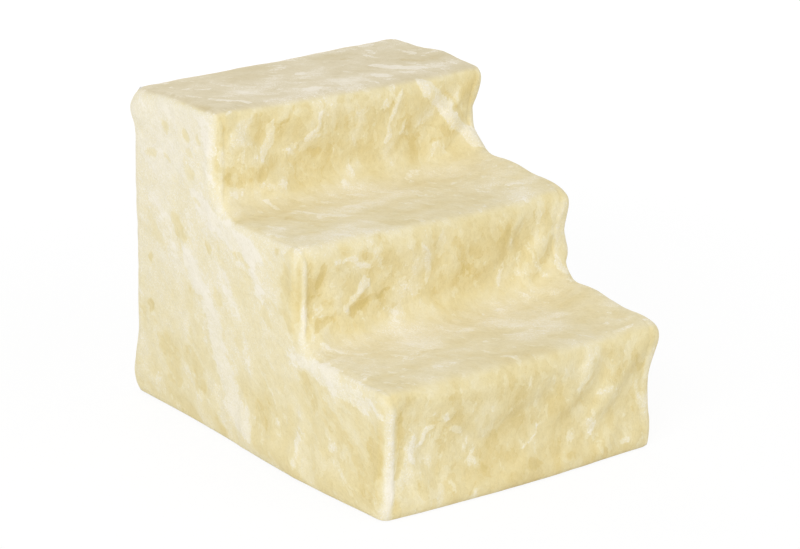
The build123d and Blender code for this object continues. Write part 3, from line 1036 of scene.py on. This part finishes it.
def seam_marks(p):
    """How much each point belongs to what lies along the seams, and how calm its folds are."""
    x, y, z = p.T
    inboard = (seam_side - seam_inset(y / 1000, z / 1000)) * 1000
    off_seam = np.abs(x) - inboard
    groove = bell(off_seam, 2.0) + bell(y - seam_back * 1000, 2.0) * (off_seam < 0)
    upright = riser_side_share(p) * np.where(x < 0, 1, 0.25)
    half = np.where(z < tread_heights[0] * 1000, low_half_roll, half_roll)
    uneven = 0.95 + 0.15 * lattice_noise(p / np.array([40.0, 40.0, 26.0]), 51)
    shares = {
        "groove": groove,
        "roll": bell(off_seam - half, half, 4) * upright * uneven,
        "dip": bell(off_seam + 3.6, 2.8) * upright,
        "shade": bell(off_seam - 2 * half - 3.3, 3.0) * upright,
        "lip": bell(off_seam - 3.4, 2.0) * tread_side_share(p),
    }
    return shares, 1 - 0.8 * bell(off_seam - 3, 9) * upright


def crush(points, normals):
    """How far the pile and cloth stand off the smooth form, and what the colour follows."""
    p = points * 1000
    side = faced(normals, 0, -1, 3.5) + faced(normals, 0, 1, 3.5)
    riser, tread, back = faced(normals, 1, -1), faced(normals, 2, 1), faced(normals, 1, 1)
    whole = side + riser + tread + back + 1e-6
    flank = side / whole
    wander = np.stack([layered_noise(p / 16, seed) for seed in (31, 32)], axis=1) * 3.5
    pale, rise = pressed_and_lit_pile(points, normals, wander)
    side_folds, riser_folds, tread_folds = cloth_folds(p)
    folds = (side * side_folds + riser * riser_folds + (tread + back) * tread_folds) / whole
    clumps = layered_noise(p / np.array([8.0, 8.0, 11.0]), 21)
    seams, calm = seam_marks(p)

    climb = rising(points[:, 2], top_height)
    tall_end = np.clip(points[:, 1] / cover_back, -1, 1)
    # Painted sheen: the tone is set by which way the cloth faces, as the pile catches the light
    # differently on each side.
    ground = side * (side_tone + climb_tone * climb + tall_end_tone * tall_end)
    ground = ground + riser * riser_tone + tread * tread_tone + back * back_tone
    patches = layered_noise(p / 85, 61) * (1 - 0.4 * flank - 0.4 * back / whole)
    # Paler on the crests of the folds, darker in their troughs: painted highlight and shade that
    # follow the folds' relief.
    tone = ground / whole + folds * (0.16 - 0.05 * flank)
    tone = tone + patches * 0.13 + clumps * 0.035

    billow = layered_noise(p / 70, 3) * 1.1
    height = billow + folds * (0.55 - 0.2 * flank) + rise * (0.8 - 0.35 * flank)
    height = height * calm + clumps * 0.12
    for name, (paler, higher) in seam_effects.items():
        tone = tone + seams[name] * paler
        height = height + seams[name] * higher
    nap = np.where(points[:, 2] > sky_sheen_above, top_sky_sheen, plain_share)
    marks = {"tone": tone, "pressed": pale, "nap": nap, "flank": flank, "tread": tread / whole}
    return height * 0.001, marks


def unpinched(mesh):
    """Smooths the few places where the settled cloth pinched onto itself."""
    for _ in range(pinch_rounds):
        joins = [e for e in mesh.edges if len(e.link_faces) == 2]
        tight = {v for e in joins if e.calc_face_angle(0) > most_crease for v in e.verts}
        for _ in range(pinch_reach):
            tight |= {v for near in tight for e in near.link_edges for v in e.verts}
        eased(mesh, [v for v in tight if not v.is_boundary], pinch_easing)


def shift_seam(mesh, way):
    """Moves the cloth sideways so that a flat cut follows the seam, and back again."""
    points = gathered(mesh.verts)
    inset = seam_inset(points[:, 1], points[:, 2]) * way
    for v, x in zip(mesh.verts, np.sign(points[:, 0]) * inset):
        if abs(v.co.x) > side_region:
            v.co.x += x


def cover_surface():
    """The cover's whole outer surface, with its folds, cut along the seams."""
    cloth_object = evened(shell_form())
    cloth_object = settled(cloth_object)
    finer = cloth_object.modifiers.new("finer", "SUBSURF")
    finer.levels = finer.render_levels = 1
    data = baked(cloth_object)
    mesh = bmesh.new()
    mesh.from_mesh(data)
    bpy.data.meshes.remove(data)
    unpinched(mesh)
    shift_seam(mesh, 1)
    cut(mesh, (-seam_side, 0, 0), (1, 0, 0))
    cut(mesh, (seam_side, 0, 0), (1, 0, 0))
    cut(mesh, (0, seam_back, 0), (0, 1, 0))
    mesh.verts.ensure_lookup_table()
    centres = np.array([f.calc_center_median()[:] for f in mesh.faces])
    shift_seam(mesh, -1)
    mesh.normal_update()
    points, normals = gathered(mesh.verts), gathered(mesh.verts, "normal")
    faces = [[v.index for v in f.verts] for f in mesh.faces]
    mesh.free()
    height, marks = crush(points, normals)
    points = points + normals * (height * rising(points[:, 2], hem_calm))[:, None]
    low = 1 - rising(points[:, 2] - hem_height, hem_roll)
    points[:, :2] -= normals[:, :2] * (hem_roll * (1 - np.sqrt(1 - low**2 * 0.96)))[:, None]
    short = np.clip(least_thickness + cloth_clearance - lining_distance(points), 0, None)
    return points + normals * short[:, None], faces, centres, marks


def vertex_normals(points, faces):
    """Normals averaged over the faces round each point."""
    total = np.zeros_like(points)
    for count in range(3, 9):
        group = np.array([f for f in faces if len(f) == count])
        if not len(group):
            continue
        a, b, c = points[group[:, 0]], points[group[:, 1]], points[group[:, 2]]
        flat = np.cross(b - a, c - a)
        for k in range(count):
            np.add.at(total, group[:, k], flat)
    return total / np.maximum(np.linalg.norm(total, axis=1), 1e-12)[:, None]


def cut_edges(faces):
    """The edges that only one of the faces has, in its own direction."""
    edges = {}
    for f in faces:
        for a, b in zip(f, f[1:] + f[:1]):
            if (b, a) in edges:
                del edges[(b, a)]
            else:
                edges[(a, b)] = True
    return list(edges)


def cloth_panel(name, node, chosen):
    """One cut panel of the cover: its plush face, its knitted back and its sewn rim."""
    panel_faces = [f for f, keep in zip(faces, chosen) if keep]
    used = sorted({v for f in panel_faces for v in f})
    count = len(used)
    new = {v: k for k, v in enumerate(used)}
    front = [[new[v] for v in f] for f in panel_faces]
    back = [[v + count for v in reversed(f)] for f in front]
    rim = [(b, a, a + count, b + count) for a, b in cut_edges(front)]
    outer, smooth = points[used], normals[used]
    depth = lining_distance(outer) - cloth_clearance
    inner = outer - smooth * np.clip(depth, least_thickness, cloth_thickness)[:, None]
    data = bpy.data.meshes.new(name)
    data.from_pydata(np.concatenate([outer, inner]).tolist(), [], front + back + rim)
    data.polygons.foreach_set("use_smooth", [True] * len(data.polygons))
    sides = [0] * len(front) + [1] * len(back) + [0] * len(rim)
    data.polygons.foreach_set("material_index", sides)
    for mark, values in marks.items():
        attribute = data.attributes.new(mark, "FLOAT", "POINT")
        attribute.data.foreach_set("value", np.tile(values[used], 2).astype(np.float32))
    data.update()
    outwards = smooth[[v for f in front for v in f]]
    inwards = -smooth[[v - count for f in back for v in f]]
    flat = np.repeat(gathered(data.polygons[2 * len(front) :], "normal"), 4, axis=0)
    data.normals_split_custom_set(np.concatenate([outwards, inwards, flat]).tolist())
    panel = placed(name, data)
    data.materials.append(plush)
    data.materials.append(backing)
    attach(panel, "cover")
    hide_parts(node)
    return panel


def set_floor():
    """A pale floor that shows as white and keeps the object's shadow."""
    reach, level = 9.0, -0.0003
    corners = [(-reach, -reach), (reach, -reach), (reach, reach), (-reach, reach)]
    data = bpy.data.meshes.new("studio_floor")
    data.from_pydata([(x, y, level) for x, y in corners], [], [(0, 1, 2, 3)])
    floor = placed("studio_floor", data)
    r = Recipe(bpy.data.materials.new("studio_floor"))
    matt = r.add("ShaderNodeBsdfDiffuse", {}, {"Color": (0.86, 0.86, 0.86, 1)}, 0)
    away = r.vector("LENGTH", r.place(), out=1)
    strength = r.step(away, 0.4, 2.2) * 0.065 + 1.035
    bright = r.add("ShaderNodeEmission", {}, {"Color": (1, 1, 1, 1), "Strength": strength}, 0)
    mixed = r.add("ShaderNodeMixShader", {}, {0: r.seen() * 0.86, 1: matt, 2: bright}, 0)
    data.materials.append(r.surface(mixed))


def set_lights():
    """A plain bright room, and three soft lamps."""
    r = Recipe(bpy.data.worlds.new("studio"))
    strength = r.seen() * 0.38 + 0.62
    glow = r.add("ShaderNodeBackground", {}, {"Color": (1, 1, 1, 1), "Strength": strength}, 0)
    scene.world = r.surface(glow, "ShaderNodeOutputWorld")
    aimed_at = Vector((0, 0, 0.17))
    for name, place, size, power in (
        ("key_lamp", (-2.5, -1.6, 1.8), 1.6, 44.0),
        ("fill_lamp", (1.6, -2.5, 1.7), 1.8, 15.0),
        ("back_lamp", (1.2, 3.1, 0.75), 1.8, 27.0),
    ):
        lamp = bpy.data.lights.new(name, "AREA")
        lamp.size, lamp.energy = size, power
        holder = placed(name, lamp)
        holder.location = place
        holder.rotation_euler = (aimed_at - Vector(place)).to_track_quat("-Z", "Y").to_euler()


set_camera()
plush = crushed_plush()
backing = knitted_backing()
points, faces, centres, marks = cover_surface()
normals = vertex_normals(points, faces)
left = centres[:, 0] < -seam_side
right = centres[:, 0] > seam_side
behind = (centres[:, 1] > seam_back) & ~left & ~right
steps_cloth = cloth_panel("plush_steps", "cover_steps", ~left & ~right & ~behind)
left_cloth = cloth_panel("plush_left_side", "cover_left_side", left)
right_cloth = cloth_panel("plush_right_side", "cover_right_side", right)
back_cloth = cloth_panel("plush_back", "cover_back", behind)

frame_plastic = moulded_plastic("frame_plastic", "#D9D6CC", "#E4E1D8")
clip_plastic = moulded_plastic("clip_plastic", "#8E9296", "#9CA0A4", roughness=0.42)
foot_rubber = moulded_plastic("foot_rubber", "#2B2B2C", "#3A3A3B", grain=1400.0, roughness=0.8)
finishes = {"joining_clips": clip_plastic, "rubber_feet": foot_rubber}
for name in nodes:
    if not name.startswith("cover_"):
        nodes[name].data.materials.clear()
        nodes[name].data.materials.append(finishes.get(name, frame_plastic))

set_floor()
set_lights()
scene.view_settings.view_transform = "Standard"
